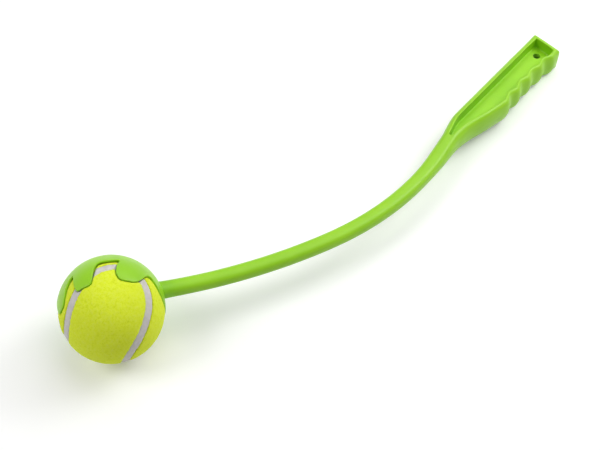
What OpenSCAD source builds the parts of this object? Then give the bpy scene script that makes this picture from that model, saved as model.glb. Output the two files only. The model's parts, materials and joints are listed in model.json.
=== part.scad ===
// Dog ball launcher stick, lying on its side with its ball in the claw cup.
// Millimetres, +Z up, floor at z = 0. The stick is drawn in the cup's own frame,
// ball centre at the origin, mouth towards -Y and shaft leaving along +X, and
// lay() puts it down on the floor with its long chord along X.

/* [Ball] */
// Outside diameter over the felt
ball_d = 65; // [62:0.5:68]
// Thickness of the felt cover
felt_t = 2.6; // [2:0.1:3.4]
// Wall of the rubber core
core_wall = 3.4; // [2.6:0.1:5]
// Cement layer between the two core halves
bond_t = 0.5; // [0.3:0.1:1]
// Width of the seam line between the felt panels
seam_w = 5.6; // [4:0.1:6.6]
// How far the seam line lies below the felt
seam_sink = 0.8; // [0.3:0.1:1.4]
// How round the panels' ends are, nearer 1 is nearer a great circle
seam_ratio = 0.8; // [0.72:0.01:0.88]

/* [Cup] */
// Clearance between ball and cup
ball_gap = 0.5; // [0.4:0.05:0.8]
// Wall of the cup
cup_wall = 1.6; // [1.4:0.1:2.4]
// How far the ball stands out of the cup's centre, towards the mouth
ball_out = 1.8; // [0.8:0.1:2.2]
// Bottoms of the notches, degrees from the mouth's axis
notch_deg = 116; // [108:0.5:120]
// Reach of the claws past the cup's widest circle, degrees
claw_past = 7.5; // [3:0.5:8.5]

/* [Shaft] */
// Width of the shaft
shaft_w = 11.2; // [9.5:0.1:13]
// Thickness of the shaft
shaft_t = 10.5; // [9:0.1:13]
// Shaft's axis behind the ball's centre
shaft_off = 8; // [6:0.1:10]
// Bend radius of the long bow
bow_r1 = 412; // [340:1:600]
// Length of the long bow
bow_len1 = 124.5; // [90:0.5:160]
// Bend radius of the bow before the grip
bow_r2 = 222; // [190:1:330]
// Length of the bow before the grip
bow_len2 = 108; // [80:0.5:130]

/* [Grip] */
// Thickness of the grip
grip_t = 19.3; // [16:0.1:23]
// Length of the flare between shaft and grip
neck_len = 37.5; // [30:0.5:44]
// Bend radius of the flare, the other way
neck_r = 252; // [190:1:400]
// Length of the straight grip
grip_len = 116.5; // [109:0.5:125]
// Straight edge to the grip's axis
grip_left = 11.4; // [10.5:0.1:13.5]
// How much further out the straight edge is at the end
grip_flare = 3.8; // [1:0.1:5]
// Finger edge to the grip's axis, on the ridges between the fingers
grip_right = 10.3; // [9.6:0.1:12]
// Extra width of the bulge in front of the fingers
bulge = 2.3; // [1:0.1:3.5]
// Extra width of the heel's ridge behind the fingers
heel = 0.9; // [0.2:0.1:2]
// Distance from one finger groove to the next
finger_pitch = 16.2; // [15.2:0.1:16.8]
// Depth of the finger grooves
finger_depth = 2.1; // [1.2:0.1:2.8]
// Rounding of the grip's edges
edge_r = 3.8; // [2.5:0.1:4.5]
// Skew of the end face, degrees
end_skew = 8; // [0:0.5:12]

/* [Pockets] */
// Width of the rim around the pockets
rim_w = 4.7; // [4:0.1:5.4]
// Width of the rim beside the fingers
rim_finger = 3.9; // [3.8:0.1:5.2]
// Web between the two pockets
web_t = 3; // [2:0.1:5]
// Where the pocket's point starts along the flare
pocket_tip = 20; // [16:1:26]
// Diameter of the hang hole
hole_d = 5.8; // [4:0.1:6.4]
// Hang hole's centre to the pocket's end wall
hole_back = 7.2; // [5:0.1:9]

/* [Hidden] */
$fn = 96;
ball_r = ball_d / 2;
core_r = ball_r - felt_t;
core_ir = core_r - core_wall;
cup_ir = ball_r + ball_gap;
cup_or = cup_ir + cup_wall;
// inside the claws a straight bore lets the ball pass with this to spare, and
// they end where it has thinned them to claw_edge
claw_free = 0.3;
claw_edge = 0.8;
pass_r = ball_r + claw_free;
claw_max = acos((pass_r + claw_edge) / cup_or);

// spine: two bows, a counter bend and a straight grip
h1 = bow_len1 / bow_r1 * 180 / PI;
h2 = h1 + bow_len2 / bow_r2 * 180 / PI;
h3 = h2 - neck_len / neck_r * 180 / PI;
s1 = bow_len1;
s2 = s1 + bow_len2;
s3 = s2 + neck_len;
s4 = s3 + grip_len;
function turned(a, r, s) = a + s / r * 180 / PI;
function arc(p, a, r, s) =
    p + r * [sin(turned(a, r, s)) - sin(a), cos(a) - cos(turned(a, r, s))];
p0 = [sqrt(pow(cup_ir - 1.5, 2) - pow(shaft_off, 2)), shaft_off];
p1 = arc(p0, 0, bow_r1, s1);
p2 = arc(p1, h1, bow_r2, bow_len2);
p3 = arc(p2, h2, -neck_r, neck_len);
function heading(s) =
    s < s1 ? turned(0, bow_r1, s)
    : s < s2 ? turned(h1, bow_r2, s - s1)
    : s < s3 ? turned(h2, -neck_r, s - s2)
    : h3;
function spine(s) =
    s < s1 ? arc(p0, 0, bow_r1, s)
    : s < s2 ? arc(p1, h1, bow_r2, s - s1)
    : s < s3 ? arc(p2, h2, -neck_r, s - s2)
    : p3 + (s - s3) * [cos(h3), sin(h3)];
// a point of the stick from its place along and across the spine
function place(s, v) = spine(s) + v * [-sin(heading(s)), cos(heading(s))];

// grip outline, all from u = distance past the shaft
u_end = neck_len + grip_len;
u_hook = u_end - 11;
u_bulge = u_hook - 4 * finger_pitch;
function step(x) = let (t = max(0, min(1, x))) t * t * (3 - 2 * t);
function mix(a, b, t) = a + (b - a) * t;
function left_raw(u) = lookup(u, [
    [0, shaft_w / 2],
    [neck_len * 0.28, shaft_w / 2 + 0.3],
    [neck_len * 0.58, mix(shaft_w / 2, grip_left, 0.23)],
    [neck_len * 1.06, grip_left],
    [u_end, grip_left + grip_flare]
]);
function right_raw(u) = lookup(u, [
    [0, shaft_w / 2],
    [neck_len * 0.64, shaft_w / 2 - 0.8],
    [neck_len * 1.04, shaft_w / 2 + 0.3],
    [neck_len * 1.4, grip_right - 1.7],
    [u_bulge - 2, grip_right + bulge],
    [u_bulge + finger_pitch, grip_right + bulge / 2],
    [u_bulge + 2 * finger_pitch, grip_right + 0.1],
    [u_bulge + 3 * finger_pitch, grip_right],
    [u_hook, grip_right + heel],
    [u_hook + 6, grip_right + 0.2],
    [u_end, grip_right + 1.2]
]);
function eased(u, w) = [for (k = [-1 : 0.5 : 1]) u + k * w];
function mean(v) = v * [for (x = v) 1] / len(v);
function left(u) = mean([for (x = eased(u, 3)) left_raw(x)]);
function wave(u) =
    u < u_bulge || u > u_hook ? 0
    : finger_depth / 2 * (cos(360 * (u - u_bulge) / finger_pitch) - 1);
function right(u) = mean([for (x = eased(u, 2)) right_raw(x)]) + wave(u);
function half_t(u) = mix(shaft_t, grip_t, step((u + 16) / (neck_len + 20))) / 2;
function round_r(u) =
    mix(0.46 * min(shaft_w, shaft_t), edge_r, step((u + 70) / 70));
// the end face leans over by the skew
function skewed(u, v) =
    u + tan(end_skew) * v * step((u - u_end + 24) / 20);

// claw rim: angle from the mouth's axis at each turn round it, 0 at the shaft
// and 90 above; each claw is [place, half width and squareness on its shaft side,
// the same on its far side, reach against claw_past, how fast it falls on its far side]
claws = [
    [0, [39, 4], [39, 4], 5, 0],
    [66, [25, 2.5], [16.6, 11], 1.2, 0.17],
    [116.3, [11.8, 5.7], [12.8, 16], -2, 0],
    [158, [17.6, 3.6], [11, 6], 1, 0],
    [202, [11, 6], [17.6, 3.6], 1, 0]
];
function reach(c) = notch_deg - 90 + min(claw_past + c[3], claw_max);
function claw_at(c, q) =
    let (past = q - c[0], side = past < 0 ? c[1] : c[2])
    (reach(c) - c[4] * max(0, min(40, past))) / (1 + pow(abs(past) / side[0], side[1]));
// neighbours blend without adding up
function claw_sum(q) = pow([for (c = claws) pow(claw_at(c, q), 4)] * [for (c = claws) 1], 0.25);
function folded(q) = let (a = abs(q) % 360) a > 180 ? 360 - a : a;
function rim(q) = notch_deg - claw_sum(folded(q));
// the wide claw beside the shaft overhangs the top notch
lean = 15.2;
function leaned(q) =
    let (a = folded(q), w = lean * exp(-pow((a - 87) / 5.8, 2)), way = q % 360 < 180 ? 1 : -1)
    q - way * w * max(0, rim(q) - 92) / (notch_deg - 92);
// turn at which the ground under a rim point lies further back, clear of the overhang
function grounded(q) =
    let (a = lookup(folded(q), [[0, 0], [40, 38], [66, 53], [82, 61], [87, 64], [90, 74],
        [96, 94], [103, 103], [180, 180]]))
    q % 360 < 180 ? a : 360 - a;
// direction at an angle from the mouth's axis and a turn round it
function dir(th, q) = [sin(th) * cos(q), -cos(th), sin(th) * sin(q)];

// rest on the floor: lowest claw edge and the grip's end both touch it
e_end = spine(s4);
chord = norm(e_end);
chord_a = atan2(e_end[1], e_end[0]);
function in_chord(v) = [
    v[0] * cos(chord_a) + v[1] * sin(chord_a),
    v[1] * cos(chord_a) - v[0] * sin(chord_a),
    v[2]
];
function drop(tilt) = cup_or * max([for (q = [-140 : 0.5 : -40])
    let (w = in_chord(dir(max(90, rim(q)), q))) w[0] * sin(tilt) - w[2] * cos(tilt)
]);
function tilt_for(h) = asin((h - grip_t / 2) / (chord - edge_r));
tilt = tilt_for(drop(tilt_for(drop(3.5))));
rest_h = drop(tilt);
// middle of the box that the whole thing fills
path_y = [for (i = [0 : 40]) in_chord(concat(place(s3 * i / 40, -shaft_w / 2), 0))[1]];
claw_x = [for (q = [140 : 1 : 220]) let (w = cup_or * in_chord(dir(rim(q), q)))
    w[0] * cos(tilt) + w[2] * sin(tilt)];
ball_x = -ball_r - ball_out * sin(chord_a) * cos(tilt);
mid_x = (chord * cos(tilt) + grip_t / 2 * sin(tilt) + min(ball_x, min(claw_x))) / 2;
mid_y = (min(path_y) + cup_or) / 2;

module lay() {
    translate([-mid_x, -mid_y, rest_h])
        rotate([0, tilt, 0])
            rotate([0, 0, -chord_a])
                children();
}

// hang hole, a little nearer the straight edge than the pocket's middle
hole_u = u_end - rim_w - hole_back;
hole_v = (left(hole_u) - right(hole_u)) / 2 + 1;
hole_at = place(skewed(hole_u, hole_v) + s2, hole_v);

// closed skin through rings of points, each ring in its own plane
module skin(rings) {
    n = len(rings[0]);
    m = len(rings);
    walls = [for (i = [0 : m - 2], j = [0 : n - 1]) let (k = (j + 1) % n)
        each [[i * n + j, i * n + n + j, i * n + k], [i * n + k, i * n + n + j, i * n + n + k]]];
    caps = [[for (j = [0 : n - 1]) j], [for (j = [0 : n - 1]) m * n - 1 - j]];
    polyhedron([for (r = rings) each r], concat(walls, caps), convexity = 8);
}

// rounded section of the stick at u, drawn in by e all round
corner_n = 4;
function section(s, u, e) =
    let (
        l = left(u) - e,
        r = right(u) - e,
        h = half_t(u) - e,
        c = max(0.4, min(round_r(u) - e, h - 0.4, (l + r) / 2 - 0.4))
    )
    [for (k = [0 : 3], i = [0 : corner_n])
        let (
            a = 90 * k + 90 * i / corner_n,
            v = (k == 0 || k == 3 ? l - c : c - r) + c * cos(a),
            z = (k < 2 ? h - c : c - h) + c * sin(a)
        )
        concat(place(skewed(s - s2, v) + s2, v), z)];

module stick_body() {
    shaft_n = 20;
    grip_n = 56;
    u_first = 12;
    cap_n = 5;
    along = concat(
        [for (i = [0 : shaft_n - 1]) (s2 - 24) * i / shaft_n],
        [for (i = [0 : 8]) s2 - 24 + (24 + u_first) * i / 9],
        [for (i = [0 : grip_n]) s2 + mix(u_first, u_end - edge_r, i / grip_n)]
    );
    skin(concat(
        [for (s = along) section(s, s - s2, 0)],
        [for (i = [1 : cap_n]) let (a = 90 * i / cap_n)
            section(s4 - edge_r * (1 - sin(a)), u_end - edge_r * (1 - sin(a)),
                edge_r * 0.96 * (1 - cos(a)))]
    ));
}

// pocket outline inside the rim, pointed towards the shaft
module pocket_shape() {
    n = 52;
    u_wall = u_end - rim_w;
    tip_v = (left(pocket_tip) - right(pocket_tip)) / 2;
    us = [for (i = [0 : n]) mix(pocket_tip, u_wall, i / n)];
    // the point is rounded over its first millimetres
    function open(u) = let (t = 1 - max(0.02, min(1, (u - pocket_tip) / 7))) sqrt(1 - t * t);
    function side(u, edge) = mix(tip_v, edge, open(u));
    function at(u, v) = place(skewed(u, v) + s2, v);
    polygon(concat(
        [for (u = us) at(u, side(u, -(right(u) - rim_finger)))],
        [for (i = [0 : n]) let (u = us[n - i]) at(u, side(u, left(u) - rim_w))]
    ));
}

// star-shaped solid from the centre through the claw rim, holding the cup's back
module claw_cone() {
    n = 288;
    far = 3 * cup_or;
    turns = [for (i = [0 : n - 1]) 360 * i / n];
    top = [for (q = turns) far * dir(rim(q), leaned(q))];
    low = [for (q = turns) let (g = grounded(q)) far * [cos(g), 1.2, sin(g)]];
    pts = concat([[0, 0, 0]], top, low, [[0, far * 1.2, 0]]);
    faces = [for (i = [0 : n - 1]) let (k = (i + 1) % n, z = 2 * n + 1)
        each [[0, 1 + k, 1 + i],
              [1 + i, 1 + k, 1 + n + i], [1 + k, 1 + n + k, 1 + n + i],
              [z, 1 + n + i, 1 + n + k]]];
    polyhedron(pts, faces, convexity = 8);
}

module cup() {
    intersection() {
        rotate([90, 0, 0]) difference() {
            shell(cup_or, cup_ir);
            cylinder(r = pass_r, h = 2 * cup_or);
        }
        claw_cone();
    }
}

// one moulding: claw cup, bowed shaft and pocketed finger grip
module launcher_stick() color("#8fd42a") lay() {
    pocket_d = (grip_t - web_t) / 2;
    difference() {
        union() {
            cup();
            difference() {
                stick_body();
                sphere(cup_ir + cup_wall * 0.4);
            }
        }
        for (m = [0, 1])
            mirror([0, 0, m])
                translate([0, 0, web_t / 2])
                    linear_extrude(pocket_d + 1) pocket_shape();
        translate([hole_at[0], hole_at[1], -web_t])
            cylinder(d = hole_d, h = 2 * web_t);
    }
}

// seam curve of the ball, on the unit sphere, and its two edges
seam_b = 1 - seam_ratio;
seam_n = 72;
function seam(t) = [
    seam_ratio * cos(t) + seam_b * cos(3 * t),
    seam_ratio * sin(t) - seam_b * sin(3 * t),
    2 * sqrt(seam_ratio * seam_b) * sin(2 * t)
];
function unit(v) = v / norm(v);
function seam_side(t) = unit(cross(seam(t + 0.5) - seam(t - 0.5), seam(t)));
// side 1 faces the panel round +Z, side -1 the other one
function seam_edge(t, side) =
    let (w = asin(seam_w / 2 / ball_r), k = side * seam_way)
    unit(seam(t)) * cos(w) + k * seam_side(t) * sin(w);
seam_way = seam_side(45)[2] > 0 ? 1 : -1;
// turned as the photographed ball lies
ball_turn = [-138.4, -50.1, 159.1];

module in_ball() lay() translate([0, -ball_out, 0])
    rotate([0, 0, chord_a]) rotate(ball_turn) children();

module shell(r_out, r_in) difference() {
    sphere(r_out);
    sphere(r_in);
}

// wedge from the centre over one felt panel; the other is its twin, turned
module panel_wedge() {
    n = seam_n / 2;
    m = 8;
    far = 1.5 * ball_r;
    function across(i, j) =
        let (
            a = seam_edge(-45 + 180 * i / n, 1),
            b = seam_edge(-45 - 180 * i / n, 1),
            w = acos(min(1, a * b)),
            t = j / m
        )
        (a * sin((1 - t) * w) + b * sin(t * w)) / sin(w);
    rows = [for (i = [1 : n - 1]) each [for (j = [0 : m]) far * across(i, j)]];
    tip0 = far * seam_edge(-45, 1);
    tip1 = far * seam_edge(135, 1);
    pts = concat([[0, 0, 0], tip0], rows, [tip1]);
    last = len(pts) - 1;
    function id(i, j) = 2 + (i - 1) * (m + 1) + j;
    over = [for (i = [1 : n - 2], j = [0 : m - 1])
        each [[id(i, j), id(i, j + 1), id(i + 1, j)],
              [id(i, j + 1), id(i + 1, j + 1), id(i + 1, j)]]];
    ends = [for (j = [0 : m - 1])
        each [[1, id(1, j + 1), id(1, j)], [last, id(n - 1, j), id(n - 1, j + 1)]]];
    sides = [for (i = [1 : n - 2])
        each [[0, id(i, 0), id(i + 1, 0)], [0, id(i + 1, m), id(i, m)]]];
    shut = [[0, 1, id(1, 0)], [0, id(1, m), 1],
            [0, id(n - 1, 0), last], [0, last, id(n - 1, m)]];
    polyhedron(pts, concat(over, ends, sides, shut), convexity = 6);
}

// band over the seam, from inside the core to outside the ball
module seam_band() {
    n = seam_n;
    near = 0.6 * ball_r;
    far = 1.5 * ball_r;
    ts = [for (i = [0 : n - 1]) -45 + 360 * i / n];
    pts = [for (t = ts) each [near * seam_edge(t, 1), far * seam_edge(t, 1),
                              far * seam_edge(t, -1), near * seam_edge(t, -1)]];
    faces = [for (i = [0 : n - 1], j = [0 : 3])
        let (a = 4 * i, b = 4 * ((i + 1) % n), k = (j + 1) % 4)
        each [[a + j, b + j, a + k], [a + k, b + j, b + k]]];
    polyhedron(pts, faces, convexity = 8);
}

module felt_panel() intersection() {
    rotate([90, 0, 0]) shell(ball_r, core_r);
    panel_wedge();
}

module core_half() difference() {
    shell(core_r, core_ir);
    translate([0, 0, bond_t / 2 - ball_r])
        cube(2 * ball_r, center = true);
}

module felt_panel_front() color("#dcf03c") in_ball() felt_panel();

module felt_panel_back() color("#dcf03c") in_ball()
    rotate([0, 0, 90]) mirror([0, 0, 1]) felt_panel();

module seam_line() color("#d5cfcf") in_ball() intersection() {
    shell(ball_r - seam_sink, core_r);
    seam_band();
}

module core_half_upper() color("#3c3c3a") in_ball() core_half();

module core_half_lower() color("#3c3c3a") in_ball() mirror([0, 0, 1]) core_half();

module core_bond() color("#22221f") in_ball()
    difference() {
        cylinder(r = sqrt(pow(core_r, 2) - pow(bond_t / 2, 2)), h = bond_t, center = true);
        cylinder(r = core_ir, h = 2 * bond_t, center = true);
    }

launcher_stick();
felt_panel_front();
felt_panel_back();
seam_line();
core_half_upper();
core_half_lower();
core_bond();
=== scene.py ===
"""Looks of the dog ball launcher: the green moulding, the felt ball and the studio.

Laid out as a Blender add-on and run as a script. Lengths are metres. The moulding is
modelled in the cup's own frame, with the cup's centre at the origin, its mouth towards
-Y and the shaft leaving along +X, and is then laid into the frame that the solids use.
"""

import json
from math import acos, atan2, cos, degrees, exp, hypot, pi, radians, sin, sqrt, tan

import bmesh
import bpy
from bpy.props import FloatProperty, FloatVectorProperty, PointerProperty
from mathutils import Matrix, Vector
from mathutils.bvhtree import BVHTree
from mathutils.kdtree import KDTree


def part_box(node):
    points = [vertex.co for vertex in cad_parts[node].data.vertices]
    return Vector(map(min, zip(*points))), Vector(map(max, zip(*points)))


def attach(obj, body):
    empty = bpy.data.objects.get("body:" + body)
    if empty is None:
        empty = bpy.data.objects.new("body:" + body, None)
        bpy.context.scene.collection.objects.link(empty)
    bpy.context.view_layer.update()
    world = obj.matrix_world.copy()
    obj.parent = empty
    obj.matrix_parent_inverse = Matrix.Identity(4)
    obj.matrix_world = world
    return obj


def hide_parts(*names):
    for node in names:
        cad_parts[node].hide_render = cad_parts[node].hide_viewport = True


bl_info = {
    "name": "Dog Ball Launcher",
    "version": (1, 0, 0),
    "blender": (4, 5, 0),
    "location": "3D View > Sidebar > Launcher",
    "description": "Models and dresses a one-piece ball launcher with its felt ball",
    "category": "Object",
}

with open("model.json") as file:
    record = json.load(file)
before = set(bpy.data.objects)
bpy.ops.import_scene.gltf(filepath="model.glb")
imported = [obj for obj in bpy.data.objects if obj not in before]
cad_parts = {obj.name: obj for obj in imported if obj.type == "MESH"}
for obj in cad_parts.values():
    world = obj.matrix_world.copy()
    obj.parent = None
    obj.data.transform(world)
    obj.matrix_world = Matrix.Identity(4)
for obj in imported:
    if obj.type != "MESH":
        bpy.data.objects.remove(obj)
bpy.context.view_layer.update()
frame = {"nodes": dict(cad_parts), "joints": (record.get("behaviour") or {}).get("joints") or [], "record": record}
MM = 0.001

MOUTH = Vector(frame["joints"][0]["axis"]).normalized()
FACE_UP = Vector(frame["record"]["mounts"][0]["axis"]).normalized()
HOLE_AT = Vector(frame["record"]["mounts"][0]["pos_m"])


def middle(node):
    """Middle of a solid's box."""
    low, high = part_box(node)
    return (Vector(low) + Vector(high)) / 2


BALL_AT = middle("core_bond")


def length(name, default, description):
    """A length in metres, given in millimetres."""
    return FloatProperty(
        name=name, description=description, default=default * MM, unit="LENGTH", precision=4
    )


def tilt(name, default, description):
    """An angle in radians, given in degrees."""
    return FloatProperty(
        name=name, description=description, default=radians(default), subtype="ANGLE"
    )


def tint(name, default, description):
    """A linear colour."""
    return FloatVectorProperty(
        name=name, description=description, default=default, size=3, subtype="COLOR", min=0, max=1
    )


class LauncherSizes(bpy.types.PropertyGroup):
    """Sizes of the moulding, as the solids have them."""

    ball_out: length("Ball out", 1.8, "How far the ball stands out of the cup's centre")
    cup_r: length("Cup radius", 34.6, "Outside radius of the cup")
    cup_wall: length("Cup wall", 1.6, "Thickness of the cup's wall")
    pass_r: length("Bore in the claws", 32.8, "Radius that the ball passes through")
    claw_round: length("Claw rounding", 0.5, "Rounding of the claws' edges")
    notch: tilt("Notches", 116, "Bottoms of the notches from the mouth")
    claw_past: tilt("Claws", 7.5, "Reach of the claws past the widest circle")
    shaft_w: length("Shaft width", 11.2, "Width of the shaft")
    shaft_t: length("Shaft thickness", 10.5, "Thickness of the shaft")
    shaft_off: length("Shaft offset", 8, "Shaft's axis behind the ball's centre")
    bow_r1: length("Long bow radius", 412, "Bend radius of the long bow")
    bow_len1: length("Long bow", 124.5, "Length of the long bow")
    bow_r2: length("Short bow radius", 222, "Bend radius of the bow before the grip")
    bow_len2: length("Short bow", 108, "Length of the bow before the grip")
    neck_r: length("Flare radius", 252, "Bend radius of the flare, the other way")
    neck_len: length("Flare", 37.5, "Length of the flare between shaft and grip")
    grip_len: length("Grip", 116.5, "Length of the straight grip")
    grip_t: length("Grip thickness", 19.3, "Thickness of the grip")
    grip_left: length("Straight edge", 11.4, "Straight edge to the grip's axis")
    grip_flare: length("Grip flare", 3.8, "How much further out the straight edge is at the end")
    grip_right: length("Finger edge", 10.3, "Finger edge to the grip's axis, on the ridges")
    bulge: length("Bulge", 2.3, "Extra width of the bulge in front of the fingers")
    heel: length("Heel", 0.9, "Extra width of the ridge behind the fingers")
    finger_pitch: length("Finger pitch", 16.2, "Distance from one finger groove to the next")
    finger_depth: length("Finger depth", 2.1, "Depth of the finger grooves")
    edge_r: length("Edge rounding", 3.8, "Rounding of the grip's edges")
    end_skew: tilt("End skew", 8, "Skew of the end face")
    rim_w: length("Rim", 4.7, "Width of the rim around the pockets")
    web_t: length("Web", 3, "Web between the two pockets")
    pocket_tip: length("Pocket tip", 20, "Where the pocket's point starts along the flare")
    hole_d: length("Hang hole", 5.8, "Diameter of the hang hole")


class BallSizes(bpy.types.PropertyGroup):
    """Sizes of the felt cover."""

    radius: length("Ball radius", 32.5, "Outside radius over the felt")
    felt_t: length("Felt", 2.6, "Thickness of the felt")
    grain: length("Felt grain", 0.75, "Edge of the felt's faces")
    pile: length("Pile", 1.3, "How far the pile stands up where nothing presses on it")
    seam_rise: length("Seam rise", 1.35, "How far the seam follows the pile")
    seam_swell: length("Seam swell", 0.4, "How far the seam swells between the panels")
    felt_back: length("Felt edge", 0.3, "How far the felt's edges draw back from the seam")
    lumps: length("Lumps", 0.35, "Height of the felt's unevenness")


class LauncherColours(bpy.types.PropertyGroup):
    """Colours of the finishes."""

    green: tint("Green", (0.32, 0.66, 0.012), "Lime green of the moulding")
    green_deep: tint("Deep green", (0.285, 0.62, 0.008), "Green in the moulding's clouding")
    felt: tint("Felt", (0.78, 0.90, 0.03), "Yellow-green of the felt")
    felt_deep: tint("Felt roots", (0.60, 0.73, 0.02), "Colour between the fibres")
    seam: tint("Seam", (0.66, 0.63, 0.61), "Pale grey of the seam line")
    rubber: tint("Core", (0.03, 0.03, 0.028), "Dark rubber of the core")
    floor: tint("Floor", (0.9, 0.9, 0.9), "Pale studio floor")


def sizes():
    return bpy.context.scene.launcher_sizes


def ball_sizes():
    return bpy.context.scene.launcher_ball


def colours():
    return bpy.context.scene.launcher_colours


def rest_frame():
    """Matrix from the cup's own frame to the frame that the solids use."""
    back = -MOUTH
    across = back.cross(FACE_UP)
    at = BALL_AT - MOUTH * sizes().ball_out
    turn = Matrix((across, back, FACE_UP)).transposed()
    return Matrix.Translation(at) @ turn.to_4x4()


# Outline of the stick


def mix(a, b, t):
    return a + (b - a) * t


def ease(x):
    t = max(0.0, min(1.0, x))
    return t * t * (3 - 2 * t)


def lookup(x, table):
    """Straight lines through a list of places and values."""
    if x <= table[0][0]:
        return table[0][1]
    for (x0, y0), (x1, y1) in zip(table, table[1:]):
        if x <= x1:
            return mix(y0, y1, (x - x0) / (x1 - x0))
    return table[-1][1]


class Outline:
    """Half widths and half thickness along the stick; u is the distance past the shaft."""

    # heel's ridge to the end face
    hook_in = 11 * MM
    # where the stick starts to thicken and to lose the shaft's rounding, before the flare
    thicken = 16 * MM
    square_up = 70 * MM
    # the finger side: share of the edge rounding, how far in it sets in and over what length
    finger_corner = 0.72
    finger_from = 30 * MM
    # how far the sides swell out, and how much less they do in a finger groove
    straight_swell = 0.8 * MM
    finger_swell = 1.4 * MM
    groove_share = 0.35
    # the end face's skew sets in this far from the end, over this length
    skew_from = 24 * MM
    skew_over = 20 * MM

    def __init__(self):
        s = self.s = sizes()
        self.start = s.bow_len1 + s.bow_len2
        self.end = s.neck_len + s.grip_len
        self.hook = self.end - self.hook_in
        self.first = self.hook - 4 * s.finger_pitch
        half = s.shaft_w / 2
        # places along the stick and half widths there
        self.left_line = [
            (0, half),
            (s.neck_len * 0.28, half + 0.3 * MM),
            (s.neck_len * 0.58, mix(half, s.grip_left, 0.23)),
            (s.neck_len * 1.06, s.grip_left),
            (self.end, s.grip_left + s.grip_flare),
        ]
        self.right_line = [
            (0, half),
            (s.neck_len * 0.64, half - 0.8 * MM),
            (s.neck_len * 1.04, half + 0.3 * MM),
            (s.neck_len * 1.4, s.grip_right - 1.7 * MM),
            (self.first - 2 * MM, s.grip_right + s.bulge),
            (self.first + s.finger_pitch, s.grip_right + s.bulge / 2),
            (self.first + 2 * s.finger_pitch, s.grip_right + 0.1 * MM),
            (self.first + 3 * s.finger_pitch, s.grip_right),
            (self.hook, s.grip_right + s.heel),
            (self.hook + 6 * MM, s.grip_right + 0.2 * MM),
            (self.end, s.grip_right + 1.2 * MM),
        ]

    def left(self, u):
        return sum(lookup(u + k * 1.5 * MM, self.left_line) for k in range(-2, 3)) / 5

    def plain_right(self, u):
        return sum(lookup(u + k * MM, self.right_line) for k in range(-2, 3)) / 5

    def right(self, u):
        plain = self.plain_right(u)
        if self.first < u < self.hook:
            turn = 2 * pi * (u - self.first) / self.s.finger_pitch
            plain += self.s.finger_depth / 2 * (cos(turn) - 1)
        return plain

    def half_t(self, u):
        t = ease((u + self.thicken) / (self.s.neck_len + 1.25 * self.thicken))
        return mix(self.s.shaft_t, self.s.grip_t, t) / 2

    def rounding(self, u):
        full = 0.46 * min(self.s.shaft_w, self.s.shaft_t)
        return mix(full, self.s.edge_r, ease((u + self.square_up) / self.square_up))

    def corner(self, u, y):
        """Rounding of the long edges on one side of the spine."""
        if y >= 0:
            return self.rounding(u)
        along = ease((u - self.finger_from) / self.finger_from)
        return self.rounding(u) * mix(1, self.finger_corner, along)

    def swell(self, u, y):
        """How much further out the grip's sides are at half its thickness."""
        if y > 0:
            return self.straight_swell
        groove = self.plain_right(u) - self.right(u)
        return self.finger_swell - self.groove_share * groove

    def skew(self, u):
        return self.s.end_skew * ease((u - self.end + self.skew_from) / self.skew_over)


def spine_knots():
    """Ends of the spine's arcs: place, heading, and how the arc after it bends."""
    s = sizes()
    # the spine starts a little inside the claws' bore
    inside = s.pass_r - 1.3 * MM
    x = sqrt(inside**2 - s.shaft_off**2)
    at, heading = Vector((x, s.shaft_off)), 0.0
    knots = []
    for span, r in (
        (s.bow_len1, s.bow_r1),
        (s.bow_len2, s.bow_r2),
        (s.neck_len, -s.neck_r),
        (s.grip_len, None),
    ):
        knots.append((at.copy(), heading, span, r))
        if r is None:
            at += span * Vector((cos(heading), sin(heading)))
            continue
        turned = heading + span / r
        at += r * Vector((sin(turned) - sin(heading), cos(heading) - cos(turned)))
        heading = turned
    knots.append((at.copy(), heading, 0, None))
    return knots


# Hand tools


def clear_selection():
    if bpy.context.mode != "OBJECT":
        bpy.ops.object.mode_set(mode="OBJECT")
    bpy.ops.object.select_all(action="DESELECT")


def work_on(obj):
    """Makes obj the only selected object."""
    clear_selection()
    obj.select_set(True)
    bpy.context.view_layer.objects.active = obj


def edit(obj):
    work_on(obj)
    bpy.ops.object.mode_set(mode="EDIT")


def pick_faces(obj, test):
    """Selects, in edit mode, the faces that pass the test."""
    mesh = bmesh.from_edit_mesh(obj.data)
    mesh.normal_update()
    bpy.ops.mesh.select_all(action="DESELECT")
    bpy.ops.mesh.select_mode(type="FACE")
    mesh = bmesh.from_edit_mesh(obj.data)
    for f in mesh.faces:
        f.select_set(test(f))
    bmesh.update_edit_mesh(obj.data)


def pick_edges(obj, test):
    """Selects, in edit mode, the edges that pass the test."""
    bpy.ops.mesh.select_mode(type="EDGE")
    bpy.ops.mesh.select_all(action="DESELECT")
    mesh = bmesh.from_edit_mesh(obj.data)
    mesh.normal_update()
    for e in mesh.edges:
        e.select_set(test(e))
    bmesh.update_edit_mesh(obj.data)


def apply_modifier(obj, kind, **settings):
    """Adds a modifier, sets it up and applies it."""
    work_on(obj)
    m = obj.modifiers.new(kind.title(), kind)
    for key, value in settings.items():
        setattr(m, key, value)
    bpy.ops.object.modifier_apply(modifier=m.name)


def draw_out(move):
    """Extrudes what is selected."""
    bpy.ops.mesh.extrude_region_move(TRANSFORM_OT_translate={"value": move})


def face_outwards(obj):
    """Turns all faces to look out of the piece."""
    edit(obj)
    bpy.ops.mesh.select_all(action="SELECT")
    bpy.ops.mesh.normals_make_consistent(inside=False)
    bpy.ops.object.mode_set(mode="OBJECT")


def lay_down(obj):
    """Puts a piece from the cup's frame where the solids lie, with its place in its mesh."""
    work_on(obj)
    obj.matrix_world = rest_frame()
    bpy.ops.object.transform_apply(location=True, rotation=True, scale=True)


# The moulding


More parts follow.
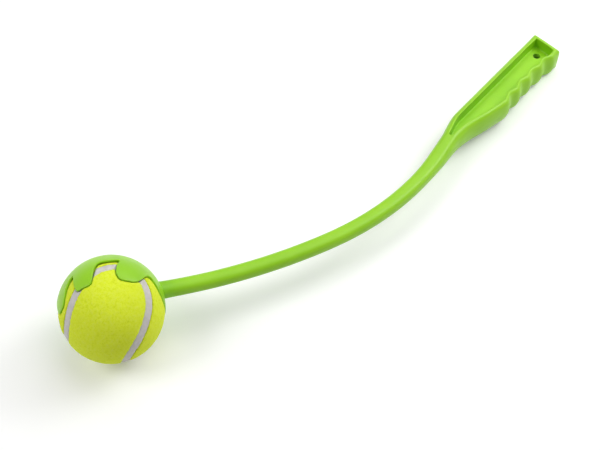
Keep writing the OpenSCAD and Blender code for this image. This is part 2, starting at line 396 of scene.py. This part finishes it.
def stick_stations(o):
    """Places along the spine where the bar is drawn out, closer together at the fingers."""
    parts = 20
    shaft = [o.start * k / parts for k in range(2, parts + 1)]
    flare = 60 * MM
    neck = [o.start + flare * k / parts for k in range(1, parts + 1)]
    # the last stretch is left free for the rounding of the end
    rest = o.end - flare - 5 * MM
    finger_step = 2 * MM
    count = round(rest / finger_step)
    grip = [o.start + flare + rest * k / count for k in range(1, count + 1)]
    return shaft + neck + grip + [o.start + o.end]


def draw_bar(o):
    """Draws the square bar of shaft and grip out of one face, station by station."""
    clear_selection()
    bpy.ops.mesh.primitive_plane_add(size=1, rotation=(0, pi / 2, 0))
    bar = bpy.context.object
    bar.name = "launcher_moulding"
    bpy.ops.object.transform_apply(location=False, rotation=True, scale=True)
    edit(bar)
    bpy.ops.mesh.select_all(action="SELECT")
    # the shaft widens a little where it leaves the cup: place and stretch
    roots = [(-1, 1.05), (3, 1.04), (6, 1.015)]
    stations = [(x * MM, k) for x, k in roots] + [(x, 1.0) for x in stick_stations(o)]
    at, side, width, thick, turned = 0.0, 0.0, 1.0, 1.0, 0.0
    for i, (x, k) in enumerate(stations):
        u = x - o.start
        left, right, half = o.left(u) * k, o.right(u) * k, o.half_t(u) * k
        w, t, y = left + right, 2 * half, (left - right) / 2
        move = (x - at, y - side, 0)
        if i:
            draw_out(move)
        else:
            bpy.ops.transform.translate(value=move)
        about = (x, y, 0)
        turn_ring(-turned, about)
        bpy.ops.transform.resize(value=(1, w / width, t / thick), center_override=about)
        turn_ring(-o.skew(u), about)
        at, side, width, thick, turned = x, y, w, t, -o.skew(u)
    bpy.ops.object.mode_set(mode="OBJECT")
    return bar


def turn_ring(angle, about):
    """Turns the selected ring about the vertical through a point."""
    if abs(angle) > 1e-6:
        bpy.ops.transform.rotate(value=-angle, orient_axis="Z", center_override=about)


def round_bar(bar, o):
    """Rounds the bar's long edges, more on the shaft than on the grip, and its end."""
    mesh = bar.data
    tail = o.start + o.end - 4 * MM
    upright_round, level_round = 1.6 * MM, 2.8 * MM
    weight = mesh.attributes.new("bevel_weight_edge", "FLOAT", "EDGE")
    full = o.rounding(-1)
    for e in mesh.edges:
        a, b = (mesh.vertices[i].co for i in e.vertices)
        along = abs(a.x - b.x) > 0.6 * abs(a.y - b.y) and abs(a.z - b.z) < 0.5 * abs(a.x - b.x)
        if along:
            u = (a.x + b.x) / 2 - o.start
            weight.data[e.index].value = o.corner(u, a.y) / full
        elif min(a.x, b.x) > tail:
            upright = abs(a.z - b.z) > MM
            weight.data[e.index].value = (upright_round if upright else level_round) / full
    apply_modifier(
        bar, "BEVEL", limit_method="WEIGHT", width=full, segments=5, profile=0.5, use_clamp_overlap=False
    )
    edit(bar)
    pick_faces(bar, lambda f: f.normal.x > 0.95 and f.calc_center_median().x > tail)
    bpy.ops.mesh.inset(thickness=0.8 * MM)
    bpy.ops.object.mode_set(mode="OBJECT")


def swell_sides(bar, o):
    """Rounds the grip's sides right over, fullest at half its thickness."""
    edit(bar)
    tail = o.start + o.end - 3 * MM
    # the swell sets in before the flare and dies out at the end face
    lead, lead_over = 20 * MM, 30 * MM
    past, past_over = 1.5 * MM, 10 * MM
    pick_edges(
        bar,
        lambda e: abs(e.verts[0].co.z - e.verts[1].co.z) > 2.5 * MM
        and e.verts[0].co.x < tail
        and any(abs(f.normal.y) > 0.5 for f in e.link_faces),
    )
    bpy.ops.mesh.subdivide_edgering(number_cuts=3, interpolation="LINEAR")
    bpy.ops.object.mode_set(mode="OBJECT")
    for v in bar.data.vertices:
        x, y, z = v.co
        u = x - o.start
        edge = (o.left(u) if y > 0 else o.right(u)) - o.corner(u, y)
        if abs(y) < edge + 0.01 * MM or u < -lead:
            continue
        over = sqrt(max(0, 1 - (z / o.half_t(u)) ** 2))
        out = edge + (o.corner(u, y) + o.swell(u, y)) * over
        share = ease((u + lead) / lead_over) * ease((o.end - u + past) / past_over)
        v.co.y = mix(y, out if y > 0 else -out, share)


def sink_pocket(bar, o, up):
    """Insets the rim on one face of the grip and sinks the pocket to the web."""
    s = sizes()
    low = o.start + s.pocket_tip + MM
    edit(bar)
    pick_faces(
        bar,
        lambda f: f.normal.z * up > 0.9
        and abs(f.normal.y) < 0.08
        and f.normal.x < 0.1
        and f.calc_center_median().x > low,
    )
    bpy.ops.mesh.inset(thickness=s.rim_w - s.edge_r, use_even_offset=True)
    floor = s.web_t / 2
    middle_x = o.start + (s.pocket_tip + o.end) / 2
    # height over the web and shrink of each ring, down the wall and round its foot
    steps = [(1.4, 1, 1), (0.5, 0.997, 0.98), (0.12, 0.995, 0.955), (0, 0.99, 0.92)]
    for height, kx, ky in steps:
        level = (floor + height * MM) * up
        draw_out((0, 0, -0.5 * MM * up))
        bpy.ops.transform.resize(value=(1, 1, 0), center_override=(0, 0, level))
        bpy.ops.transform.resize(value=(kx, ky, 1), center_override=(middle_x, 1.5 * MM, level))
    pick_edges(bar, lambda e: is_pocket_edge(e, low, up))
    bpy.ops.mesh.bevel(offset=0.6 * MM, segments=3, profile=0.5, affect="EDGES", clamp_overlap=True)
    bpy.ops.object.mode_set(mode="OBJECT")


def is_pocket_edge(e, low, up):
    """True for the upper inner edge of a pocket, between its rim and its wall."""
    if len(e.link_faces) != 2 or min(v.co.x for v in e.verts) < low - MM:
        return False
    tops = sorted(f.normal.z * up for f in e.link_faces)
    return tops[1] > 0.95 and abs(tops[0]) < 0.3 and min(v.co.z * up for v in e.verts) > 5 * MM


def bend_bar(bar):
    """Bends the straight bar along the spine, drawn as one smooth curve."""
    knots = spine_knots()
    clear_selection()
    bpy.ops.curve.primitive_bezier_curve_add()
    spine = bpy.context.object
    curve = spine.data
    curve.dimensions = "2D"
    curve.resolution_u = 64
    points = curve.splines[0].bezier_points
    points.add(len(knots) - 2)
    reach = []
    for at, heading, span, r in knots[:-1]:
        reach.append(span / 3 if r is None else 4 / 3 * abs(r) * tan(abs(span / r) / 4))
    for i, (at, heading, span, r) in enumerate(knots):
        p = points[i]
        way = Vector((cos(heading), sin(heading), 0))
        p.handle_left_type = p.handle_right_type = "FREE"
        p.co = (at.x, at.y, 0)
        p.handle_left = p.co - way * reach[max(0, i - 1)]
        p.handle_right = p.co + way * reach[min(i, len(reach) - 1)]
    apply_modifier(bar, "CURVE", object=spine, deform_axis="POS_X")
    bpy.data.objects.remove(spine)


def drill_hole(bar):
    """Drills the hang hole through the web."""
    s = sizes()
    at = rest_frame().inverted() @ HOLE_AT
    clear_selection()
    bpy.ops.mesh.primitive_cylinder_add(
        vertices=40, radius=s.hole_d / 2, depth=4 * s.web_t, location=(at.x, at.y, 0)
    )
    drill = bpy.context.object
    apply_modifier(bar, "BOOLEAN", object=drill, operation="DIFFERENCE", solver="EXACT")
    bpy.data.objects.remove(drill)


# Claws: place round the mouth, half width and squareness on each side, extra reach, and
# how fast the reach falls off on the far side; degrees
CLAWS = (
    (0, (39, 4), (39, 4), 5, 0),
    (66, (25, 2.5), (16.6, 11), 1.2, 0.17),
    (116.3, (11.8, 5.7), (12.8, 16), -2, 0),
    (158, (17.6, 3.6), (11, 6), 1, 0),
    (202, (11, 6), (17.6, 3.6), 1, 0),
)
# How sharply neighbouring claws are kept apart
CLAW_BLEND = 4
# How far the wide claw beside the shaft overhangs the top notch, at which turn and over what
# width, and the angle from the mouth behind which it does
OVERHANG = 15.2
OVERHANG_AT = 87
OVERHANG_WIDTH = 5.8
OVERHANG_FROM = 92
# Turns at the rim, and the turns further back that their columns lead to, clear of the overhang
GROUND = ((0, 0), (40, 38), (66, 53), (82, 61), (87, 64), (90, 74), (96, 94), (103, 103), (180, 180))


def claw_rim(turn):
    """Direction from the cup's centre to its rim, at a turn in degrees round the mouth."""
    s = sizes()
    notch = degrees(s.notch)
    folded = min(turn, 360 - turn)
    total = 0.0
    for place, near, far, extra, fall in CLAWS:
        past = folded - place
        reach = notch - 90 + degrees(s.claw_past) + extra - fall * max(0, min(40, past))
        width, square = near if past < 0 else far
        total += (reach / (1 + (abs(past) / width) ** square)) ** CLAW_BLEND
    angle = notch - total ** (1 / CLAW_BLEND)
    lean = OVERHANG * exp(-(((folded - OVERHANG_AT) / OVERHANG_WIDTH) ** 2))
    lean *= max(0.0, angle - OVERHANG_FROM) / (notch - OVERHANG_FROM)
    return direction(angle, turn - lean if turn < 180 else turn + lean)


def direction(angle, turn):
    a, q = radians(angle), radians(turn)
    return Vector((sin(a) * cos(q), -cos(a), sin(a) * sin(q)))


def even_rim(count):
    """Directions that divide the rim into steps of equal length, with their turns."""
    fine = [k / 10 for k in range(3601)]
    points = [claw_rim(q % 360) for q in fine]
    along = [0.0]
    for a, b in zip(points, points[1:]):
        along.append(along[-1] + (b - a).length)
    turns, k = [], 0
    for i in range(count):
        want = along[-1] * i / count
        while along[k + 1] < want:
            k += 1
        turns.append(mix(fine[k], fine[k + 1], (want - along[k]) / (along[k + 1] - along[k])))
    return [(q, claw_rim(q)) for q in turns]


class CupWall:
    """Where the cup's rows of points lie: down the outside, round the rim and up the inside."""

    around = 320
    out_rows = 34
    turn_rows = 4
    in_rows = 30
    # angle from the mouth behind which the columns run straight
    back = 128
    # how much closer the rows lie near the rim
    crowd = 1.35

    def __init__(self):
        self.s = sizes()
        rim = even_rim(self.around)
        self.columns = []
        for i, (turn, at) in enumerate(rim):
            before, after = rim[i - 1][1], rim[(i + 1) % self.around][1]
            inward = (after - before).cross(at).normalized()
            self.columns.append((turn, at, inward))

    def rows(self):
        return self.out_rows + 2 * self.turn_rows + self.in_rows

    def wall(self, at):
        """Thickness of the wall in a direction; the claws are bored straight inside."""
        s = self.s
        inner = s.cup_r - s.cup_wall
        if at.y < 0:
            inner = max(inner, s.pass_r / hypot(at.x, at.z))
        return s.cup_r - inner

    def body(self, column, share):
        """Direction at a share of the way from the rounded rim to the back of the cup."""
        turn, at, inward = self.columns[column]
        start = (at + inward * self.edge(at) / self.s.cup_r).normalized()
        angle = degrees(acos(-start.y))
        q = degrees(atan2(start.z, start.x)) % 360
        ground = lookup(min(turn, 360 - turn), GROUND)
        aside = (ground if turn < 180 else 360 - ground) - q
        aside = (aside + 180) % 360 - 180
        step = (180 - angle) * share**self.crowd
        return direction(angle + step, q + aside * min(1, step / (self.back - angle)))

    def edge(self, at):
        return min(self.s.claw_round, 0.4 * self.wall(at))

    def point(self, column, row):
        s = self.s
        turn, at, inward = self.columns[column]
        if row <= self.out_rows:
            return s.cup_r * self.body(column, 1 - row / self.out_rows)
        row -= self.out_rows
        if row >= 2 * self.turn_rows:
            way = self.body(column, (row - 2 * self.turn_rows) / self.in_rows)
            return (s.cup_r - self.wall(way)) * way
        # a rounded corner, a short flat and a second corner
        r = self.edge(at)
        thick = self.wall(at)
        first = row <= self.turn_rows
        bow = pi / 2 * (row / self.turn_rows if first else 2 - row / self.turn_rows)
        depth = r * (1 - cos(bow)) if first else thick - r * (1 - cos(bow))
        back = r * (1 - sin(bow))
        return (s.cup_r - depth) * (at + inward * back / s.cup_r).normalized()


def draw_cup():
    """Presses one half of a sphere into the other, and draws its fold out into claws."""
    wall = CupWall()
    around, rows = wall.around, wall.rows()
    clear_selection()
    bpy.ops.mesh.primitive_uv_sphere_add(segments=around, ring_count=rows, radius=1)
    cup = bpy.context.object
    for v in cup.data.vertices:
        row = round(acos(max(-1, min(1, v.co.z))) * rows / pi)
        column = round(atan2(v.co.y, v.co.x) / (2 * pi) * around) % around
        v.co = wall.point(column, row)
    face_outwards(cup)
    return cup


def seat_root(bar):
    """Lets the bar's first ring end inside the cup's wall, following it."""
    s = sizes()
    depth = s.cup_r - 0.7 * MM
    for v in bar.data.vertices:
        if v.co.length < depth and v.co.x > 0:
            v.co.x = sqrt(depth**2 - v.co.y**2 - v.co.z**2)


class LAUNCHER_OT_moulding(bpy.types.Operator):
    """Models the one-piece moulding: claw cup, bowed shaft and pocketed finger grip"""

    bl_idname = "launcher.moulding"
    bl_label = "Moulding"

    def execute(self, context):
        o = Outline()
        bar = draw_bar(o)
        round_bar(bar, o)
        swell_sides(bar, o)
        for up in (1, -1):
            sink_pocket(bar, o, up)
        bend_bar(bar)
        apply_modifier(bar, "SUBSURF", levels=2, render_levels=2)
        face_outwards(bar)
        drill_hole(bar)
        seat_root(bar)
        cup = draw_cup()
        work_on(bar)
        cup.select_set(True)
        bpy.ops.object.join()
        lay_down(bar)
        bpy.ops.object.shade_smooth_by_angle(angle=radians(40))
        bar.data.materials.append(lime_plastic())
        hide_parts("launcher_stick")
        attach(bar, "stick")
        return {"FINISHED"}


# The ball


class Opening:
    """Tells how far inside the cup's opening a point lies."""

    # how far from the claws' edge the pile stands up in full
    clear = 0.9 * MM

    def __init__(self):
        place = rest_frame()
        self.centre = place.translation.copy()
        self.rim = CupWall().columns
        self.turn = place.to_3x3()
        self.tree = KDTree(len(self.rim))
        for i, (turn, at, inward) in enumerate(self.rim):
            self.tree.insert(self.turn @ at, i)
        self.tree.balance()

    def free(self, point):
        """0 under the cup, 1 a little way out of it."""
        way = (point - self.centre).normalized()
        at, i, gap = self.tree.find(way)
        if (way - at).dot(self.turn @ self.rim[i][2]) > 0:
            return 0.0
        return ease(gap * sizes().cup_r / self.clear)


def soft_copy(node, name, grain, rounds):
    """Copies a solid's mesh and gives it even faces and soft edges."""
    clear_selection()
    piece = bpy.data.objects.new(name, frame["nodes"][node].data.copy())
    bpy.context.scene.collection.objects.link(piece)
    piece.data.materials.clear()
    edit(piece)
    bpy.ops.mesh.select_all(action="SELECT")
    bpy.ops.mesh.remove_doubles(threshold=1e-5)
    bpy.ops.object.mode_set(mode="OBJECT")
    apply_modifier(piece, "REMESH", mode="VOXEL", voxel_size=grain, adaptivity=0)
    apply_modifier(piece, "SMOOTH", factor=0.5, iterations=rounds)
    return piece


def raise_pile(piece, opening, root, top, height):
    """Lifts a piece's outside where the cup doesn't press on it, and weights it for its lumps."""
    pressed = 0.15
    outer = piece.vertex_groups.new(name="pile")
    for v in piece.data.vertices:
        out = v.co - BALL_AT
        up = ease((out.length - root) / (top - root))
        free = opening.free(v.co)
        v.co += out.normalized() * height * up * free
        outer.add([v.index], up * mix(pressed, 1.0, free), "REPLACE")


def draw_back(panel, by, reach):
    """Draws a panel's edges back from the seam."""
    seam = frame["nodes"]["seam_line"].data
    tree = BVHTree.FromPolygons([v.co for v in seam.vertices], [p.vertices for p in seam.polygons])
    for v in panel.data.vertices:
        at, normal, face, gap = tree.find_nearest(v.co)
        if gap < reach:
            out = (v.co - BALL_AT).normalized()
            away = normal - out * normal.dot(out)
            v.co += away * by * (1 - gap / reach)


def finish_piece(piece, node, material):
    work_on(piece)
    bpy.ops.object.shade_smooth()
    piece.data.materials.append(material)
    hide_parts(node)
    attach(piece, "ball")


def felt_cover(node, name, opening, material):
    """Makes one felt panel from its solid: soft edges, uneven face and raised pile."""
    b = ball_sizes()
    panel = soft_copy(node, name, b.grain, 5)
    draw_back(panel, b.felt_back, 1.5 * MM)
    raise_pile(panel, opening, b.radius - b.felt_t, b.radius - 0.8 * MM, b.pile)
    lumps = bpy.data.textures.new(name + "_lumps", "CLOUDS")
    lumps.noise_scale = 2.2 * MM
    lumps.noise_depth = 2
    apply_modifier(
        panel, "DISPLACE", texture=lumps, texture_coords="LOCAL", direction="NORMAL",
        strength=b.lumps, mid_level=0.5, vertex_group="pile",
    )
    finish_piece(panel, node, material)


class LAUNCHER_OT_felt(bpy.types.Operator):
    """Makes the two felt panels of the ball"""

    bl_idname = "launcher.felt"
    bl_label = "Felt panels"

    def execute(self, context):
        material = needled_felt()
        opening = Opening()
        felt_cover("felt_panel_front", "felt_front", opening, material)
        felt_cover("felt_panel_back", "felt_back", opening, material)
        return {"FINISHED"}


class LAUNCHER_OT_seam(bpy.types.Operator):
    """Makes the pale seam line, which follows the pile"""

    bl_idname = "launcher.seam"
    bl_label = "Seam line"

    def execute(self, context):
        b = ball_sizes()
        seam = soft_copy("seam_line", "seam", b.grain * 0.8, 4)
        raise_pile(seam, Opening(), b.radius - b.felt_t, b.radius - 1.6 * MM, b.seam_rise)
        apply_modifier(seam, "DISPLACE", strength=b.seam_swell, mid_level=0, vertex_group="pile")
        finish_piece(seam, "seam_line", seam_rubber())
        return {"FINISHED"}


class LAUNCHER_OT_core(bpy.types.Operator):
    """Finishes the ball's hidden rubber core"""

    bl_idname = "launcher.core"
    bl_label = "Core"

    def execute(self, context):
        finishes = {
            "core_half_upper": core_rubber("core_rubber", 1.0),
            "core_half_lower": core_rubber("core_rubber_lower", 1.0),
            "core_bond": core_rubber("bond_cement", 0.55),
        }
        for node, material in finishes.items():
            mesh = frame["nodes"][node].data
            mesh.materials.clear()
            mesh.materials.append(material)
        return {"FINISHED"}


# Finishes


def new_finish(name):
    """A material with its shader and a place to link to."""
    material = bpy.data.materials.new(name)
    material.use_nodes = True
    nodes, links = material.node_tree.nodes, material.node_tree.links
    shader = next(n for n in nodes if n.type == "BSDF_PRINCIPLED")
    where = nodes.new("ShaderNodeTexCoord").outputs["Object"]
    return material, nodes, links, shader, where


def noise(nodes, links, where, size, detail=2.0, rough=0.5):
    """Noise whose features are about size metres across."""
    n = nodes.new("ShaderNodeTexNoise")
    n.inputs["Scale"].default_value = 1 / size
    n.inputs["Detail"].default_value = detail
    n.inputs["Roughness"].default_value = rough
    links.new(where, n.inputs["Vector"])
    return n.outputs["Fac"]


def ramp(nodes, links, factor, stops):
    """Colours or greys along a factor."""
    r = nodes.new("ShaderNodeValToRGB")
    bar = r.color_ramp.elements
    while len(bar) < len(stops):
        bar.new(0.5)
    for element, (place, colour) in zip(bar, stops):
        element.position = place
        element.color = (*colour, 1) if hasattr(colour, "__len__") else (colour, colour, colour, 1)
    links.new(factor, r.inputs["Fac"])
    return r.outputs["Color"]


def bump(nodes, links, height, strength, distance, under=None):
    b = nodes.new("ShaderNodeBump")
    b.inputs["Strength"].default_value = strength
    b.inputs["Distance"].default_value = distance
    links.new(height, b.inputs["Height"])
    if under is not None:
        links.new(under, b.inputs["Normal"])
    return b.outputs["Normal"]


def lime_plastic():
    """Semi-gloss moulded plastic, faintly clouded, with a fine moulded grain."""
    c = colours()
    material, nodes, links, shader, where = new_finish("lime_plastic")
    cloud = noise(nodes, links, where, 22 * MM, 3)
    links.new(
        ramp(nodes, links, cloud, [(0.3, c.green_deep), (0.7, c.green)]), shader.inputs["Base Color"]
    )
    gloss = noise(nodes, links, where, 6 * MM, 4)
    links.new(ramp(nodes, links, gloss, [(0.3, 0.3), (0.7, 0.42)]), shader.inputs["Roughness"])
    sink = bump(nodes, links, noise(nodes, links, where, 14 * MM, 1), 0.12, 0.4 * MM)
    grain = bump(nodes, links, noise(nodes, links, where, 0.35 * MM, 2), 0.12, 0.03 * MM, sink)
    links.new(grain, shader.inputs["Normal"])
    shader.inputs["Subsurface Weight"].default_value = 0.12
    shader.inputs["Subsurface Radius"].default_value = (0.6, 1.0, 0.25)
    shader.inputs["Subsurface Scale"].default_value = 2 * MM
    shader.inputs["IOR"].default_value = 1.49
    shader.inputs["Specular IOR Level"].default_value = 0.36
    return material


def needled_felt():
    """Short-pile felt: tufts, fibres and paler tips."""
    c = colours()
    material, nodes, links, shader, where = new_finish("needled_felt")
    tufts = noise(nodes, links, where, 1.6 * MM, 4, 0.65)
    fibres = noise(nodes, links, where, 0.35 * MM, 3, 0.7)
    both = nodes.new("ShaderNodeMath")
    both.operation = "MULTIPLY_ADD"
    links.new(fibres, both.inputs[0])
    both.inputs[1].default_value = 0.6
    links.new(tufts, both.inputs[2])
    pale = [mix(v, 1.0, 0.06) for v in c.felt]
    links.new(
        ramp(nodes, links, both.outputs["Value"], [(0.5, c.felt_deep), (0.75, c.felt), (1.0, pale)]),
        shader.inputs["Base Color"],
    )
    shader.inputs["Roughness"].default_value = 0.95
    shader.inputs["Specular IOR Level"].default_value = 0.1
    shader.inputs["Sheen Weight"].default_value = 0.2
    shader.inputs["Sheen Roughness"].default_value = 0.5
    shader.inputs["Sheen Tint"].default_value = (0.85, 1.0, 0.3, 1)
    coarse = bump(nodes, links, tufts, 0.6, 0.5 * MM)
    links.new(bump(nodes, links, fibres, 0.5, 0.15 * MM, coarse), shader.inputs["Normal"])
    return material


def seam_rubber():
    """Pale matt adhesive with a slightly flowed surface."""
    c = colours()
    material, nodes, links, shader, where = new_finish("seam_rubber")
    flow = noise(nodes, links, where, 3 * MM, 3)
    dark = [v * 0.86 for v in c.seam]
    links.new(ramp(nodes, links, flow, [(0.3, dark), (0.7, c.seam)]), shader.inputs["Base Color"])
    speck = noise(nodes, links, where, 0.5 * MM, 2)
    links.new(ramp(nodes, links, speck, [(0.3, 0.6), (0.7, 0.8)]), shader.inputs["Roughness"])
    links.new(bump(nodes, links, flow, 0.3, 0.25 * MM), shader.inputs["Normal"])
    return material


def core_rubber(name, shade):
    """Dark moulded rubber with a matt skin."""
    c = colours()
    material, nodes, links, shader, where = new_finish(name)
    flow = noise(nodes, links, where, 5 * MM, 3)
    low = [v * 0.7 * shade for v in c.rubber]
    high = [v * shade for v in c.rubber]
    links.new(ramp(nodes, links, flow, [(0.3, low), (0.7, high)]), shader.inputs["Base Color"])
    links.new(ramp(nodes, links, flow, [(0.3, 0.65), (0.7, 0.85)]), shader.inputs["Roughness"])
    skin = bump(nodes, links, noise(nodes, links, where, 0.6 * MM), 0.3, 0.1 * MM)
    links.new(skin, shader.inputs["Normal"])
    return material


def studio_floor():
    """Matt white board, lifted to plain white for the camera; its shadows stay."""
    c = colours()
    material, nodes, links, shader, where = new_finish("studio_floor")
    tone = noise(nodes, links, where, 0.5, 2)
    low = [v * 0.99 for v in c.floor]
    links.new(ramp(nodes, links, tone, [(0.3, low), (0.7, c.floor)]), shader.inputs["Base Color"])
    shader.inputs["Roughness"].default_value = 0.9
    shader.inputs["Specular IOR Level"].default_value = 0.1
    shader.inputs["Emission Color"].default_value = (1, 1, 1, 1)
    away = nodes.new("ShaderNodeVectorMath")
    away.operation = "LENGTH"
    links.new(where, away.inputs[0])
    lift = spread(nodes, links, away.outputs["Value"], FLOOR_LIFT, 1, *FLOOR_FADE)
    shown = nodes.new("ShaderNodeMath")
    shown.operation = "MULTIPLY"
    links.new(seen(nodes, links), shown.inputs[0])
    links.new(lift, shown.inputs[1])
    links.new(shown.outputs["Value"], shader.inputs["Emission Strength"])
    return material


def seen(nodes, links):
    """1 where the camera looks straight at it or by way of a clear or shiny piece, else 0."""
    path = nodes.new("ShaderNodeLightPath")
    total = path.outputs["Is Camera Ray"]
    for ray in ("Is Glossy Ray", "Is Transmission Ray"):
        either = nodes.new("ShaderNodeMath")
        either.operation = "ADD"
        either.use_clamp = True
        links.new(total, either.inputs[0])
        links.new(path.outputs[ray], either.inputs[1])
        total = either.outputs["Value"]
    return total


def spread(nodes, links, factor, low, high, start=0.0, stop=1.0):
    """Carries a factor smoothly over to another range."""
    r = nodes.new("ShaderNodeMapRange")
    r.interpolation_type = "SMOOTHSTEP"
    limits = {"From Min": start, "From Max": stop, "To Min": low, "To Max": high}
    for key, value in limits.items():
        r.inputs[key].default_value = value
    links.new(factor, r.inputs["Value"])
    return r.outputs["Result"]


# The studio

# light from all round, and how far the floor is lifted towards white near the object and beyond
SURROUND = 0.15
FLOOR_LIFT = 0.2
FLOOR_FADE = (0.3, 0.9)
# the camera: turn, height above the floor and lens in degrees, and where the cup's centre and
# how large its radius show in the picture, in pixels
VIEW_TURN = 13.8
VIEW_RISE = 52
VIEW_WIDTH = 26
CUP_PIXEL = (111.4, 308.6)
CUP_PIXEL_RADIUS = 54.1
PICTURE = (600, 450)


def studio_turn():
    """Turn from the camera's own compass, in which it looks along +Y, to the solids' frame."""
    across = (-MOUTH).cross(FACE_UP)
    return atan2(across.y, across.x) - radians(VIEW_TURN)


def in_studio(x, y, z):
    """A point given from the cup's centre, with x to the right and y away from the camera."""
    a = studio_turn()
    at = rest_frame().translation
    return Vector((at.x + x * cos(a) - y * sin(a), at.y + x * sin(a) + y * cos(a), z))


def aim(obj, target):
    obj.rotation_euler = (target - obj.location).to_track_quat("-Z", "Y").to_euler()


def place_camera():
    """Puts the camera where the photograph was taken from."""
    rise = radians(VIEW_RISE)
    half_lens = tan(radians(VIEW_WIDTH / 2))
    focal = PICTURE[0] / 2 / half_lens
    right = (CUP_PIXEL[0] - PICTURE[0] / 2) / focal
    up = (PICTURE[1] / 2 - CUP_PIXEL[1]) / focal
    depth = focal * sizes().cup_r / CUP_PIXEL_RADIUS
    x = -depth * right
    y = -depth * (cos(rise) + up * sin(rise))
    z = rest_frame().translation.z + depth * (sin(rise) - up * cos(rise))
    data = bpy.data.cameras.new("camera")
    data.sensor_width = 36
    data.lens = data.sensor_width / 2 / half_lens
    data.clip_start, data.clip_end = 0.01, 50
    camera = bpy.data.objects.new("camera", data)
    bpy.context.scene.collection.objects.link(camera)
    camera.location = in_studio(x, y, z)
    aim(camera, in_studio(x, y + cos(rise), z - sin(rise)))
    bpy.context.scene.camera = camera


def softbox(name, at, target, size, power):
    """A soft rectangular light, from one place in the studio towards another."""
    data = bpy.data.lights.new(name, "AREA")
    data.shape = "RECTANGLE"
    data.size, data.size_y = size
    data.energy = power
    lamp = bpy.data.objects.new(name, data)
    bpy.context.scene.collection.objects.link(lamp)
    lamp.location = in_studio(*at)
    aim(lamp, in_studio(*target))


class LAUNCHER_OT_studio(bpy.types.Operator):
    """Sets up the pale floor, the soft lights and the camera"""

    bl_idname = "launcher.studio"
    bl_label = "Studio"

    def execute(self, context):
        scene = context.scene
        clear_selection()
        bpy.ops.mesh.primitive_plane_add(size=6)
        floor = context.object
        floor.name = "studio_floor"
        floor.data.materials.append(studio_floor())
        softbox("left", (-0.8, -0.15, 0.95), (0.05, 0.05, 0), (0.6, 0.6), 6)
        softbox("right", (1.0, 0.55, 0.8), (0.36, 0.3, 0), (0.6, 0.6), 5.5)
        softbox("top", (0.65, 0.55, 1.4), (0.3, 0.25, 0), (2.2, 1.6), 17)
        world = bpy.data.worlds.new("studio")
        world.use_nodes = True
        nodes, links = world.node_tree.nodes, world.node_tree.links
        back = nodes["Background"]
        back.inputs["Color"].default_value = (1, 1, 1, 1)
        links.new(spread(nodes, links, seen(nodes, links), SURROUND, 1), back.inputs["Strength"])
        scene.world = world
        scene.view_settings.view_transform = "Standard"
        place_camera()
        return {"FINISHED"}


class LAUNCHER_PT_panel(bpy.types.Panel):
    """Shows buttons for the launcher's steps, and its sizes and colours"""

    bl_idname = "LAUNCHER_PT_panel"
    bl_label = "Ball Launcher"
    bl_space_type = "VIEW_3D"
    bl_region_type = "UI"
    bl_category = "Launcher"

    def draw(self, context):
        layout = self.layout
        for step in STEPS:
            layout.operator(step.bl_idname)
        for group in (sizes(), ball_sizes(), colours()):
            box = layout.box()
            for key in group.bl_rna.properties.keys():
                if key not in {"rna_type", "name"}:
                    box.prop(group, key)


GROUPS = {
    "launcher_sizes": LauncherSizes,
    "launcher_ball": BallSizes,
    "launcher_colours": LauncherColours,
}
STEPS = (
    LAUNCHER_OT_moulding,
    LAUNCHER_OT_felt,
    LAUNCHER_OT_seam,
    LAUNCHER_OT_core,
    LAUNCHER_OT_studio,
)


def register():
    for cls in (*GROUPS.values(), *STEPS, LAUNCHER_PT_panel):
        bpy.utils.register_class(cls)
    for name, cls in GROUPS.items():
        setattr(bpy.types.Scene, name, PointerProperty(type=cls))


def unregister():
    for name in GROUPS:
        delattr(bpy.types.Scene, name)
    for cls in reversed((*GROUPS.values(), *STEPS, LAUNCHER_PT_panel)):
        bpy.utils.unregister_class(cls)


def main():
    register()
    bpy.ops.launcher.moulding()
    bpy.ops.launcher.felt()
    bpy.ops.launcher.seam()
    bpy.ops.launcher.core()
    bpy.ops.launcher.studio()


if __name__ == "__main__":
    main()
